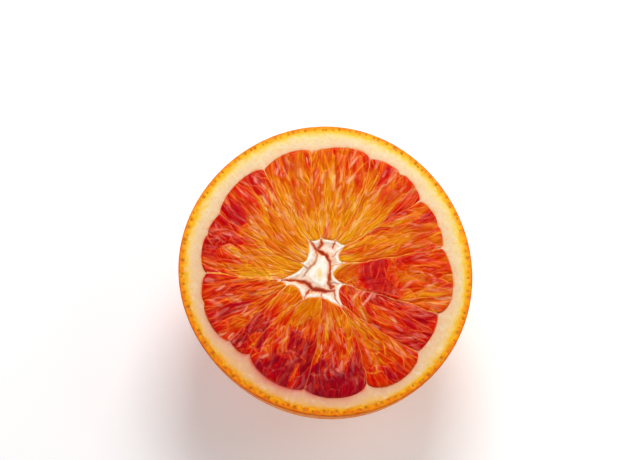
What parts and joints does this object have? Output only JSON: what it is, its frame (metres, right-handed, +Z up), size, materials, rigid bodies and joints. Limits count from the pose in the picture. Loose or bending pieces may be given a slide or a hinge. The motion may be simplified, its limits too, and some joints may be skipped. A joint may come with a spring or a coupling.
{
  "type": "blood orange half",
  "caption": "Half a blood orange, cut across its middle: dimpled orange peel, cream pith, red and orange juice segments and a cracked white core.",
  "frame": {"origin": "middle of the base, under the middle of the bounding box, on the surface that the half rests on", "axes": "+Z up, square to the cut face; +Y towards the segment wall that lies at the top when the face is seen from above; +X to its right"},
  "size_m": [0.0726, 0.0736, 0.04],
  "materials": {
    "peel": "waxy orange peel with a red blush, finely dimpled by oil glands, semi-gloss",
    "pith": "matt, slightly fibrous cream pith",
    "pulp": "wet, translucent juice sacs, orange to deep crimson",
    "membrane": "thin wet translucent membrane",
    "core": "matt white spongy core with dark red cracks",
    "stem_button": "dry, greenish brown, woody"
  },
  "bodies": {
    "root": {"blood_orange_half": "peel"}
  },
  "joints": []
}
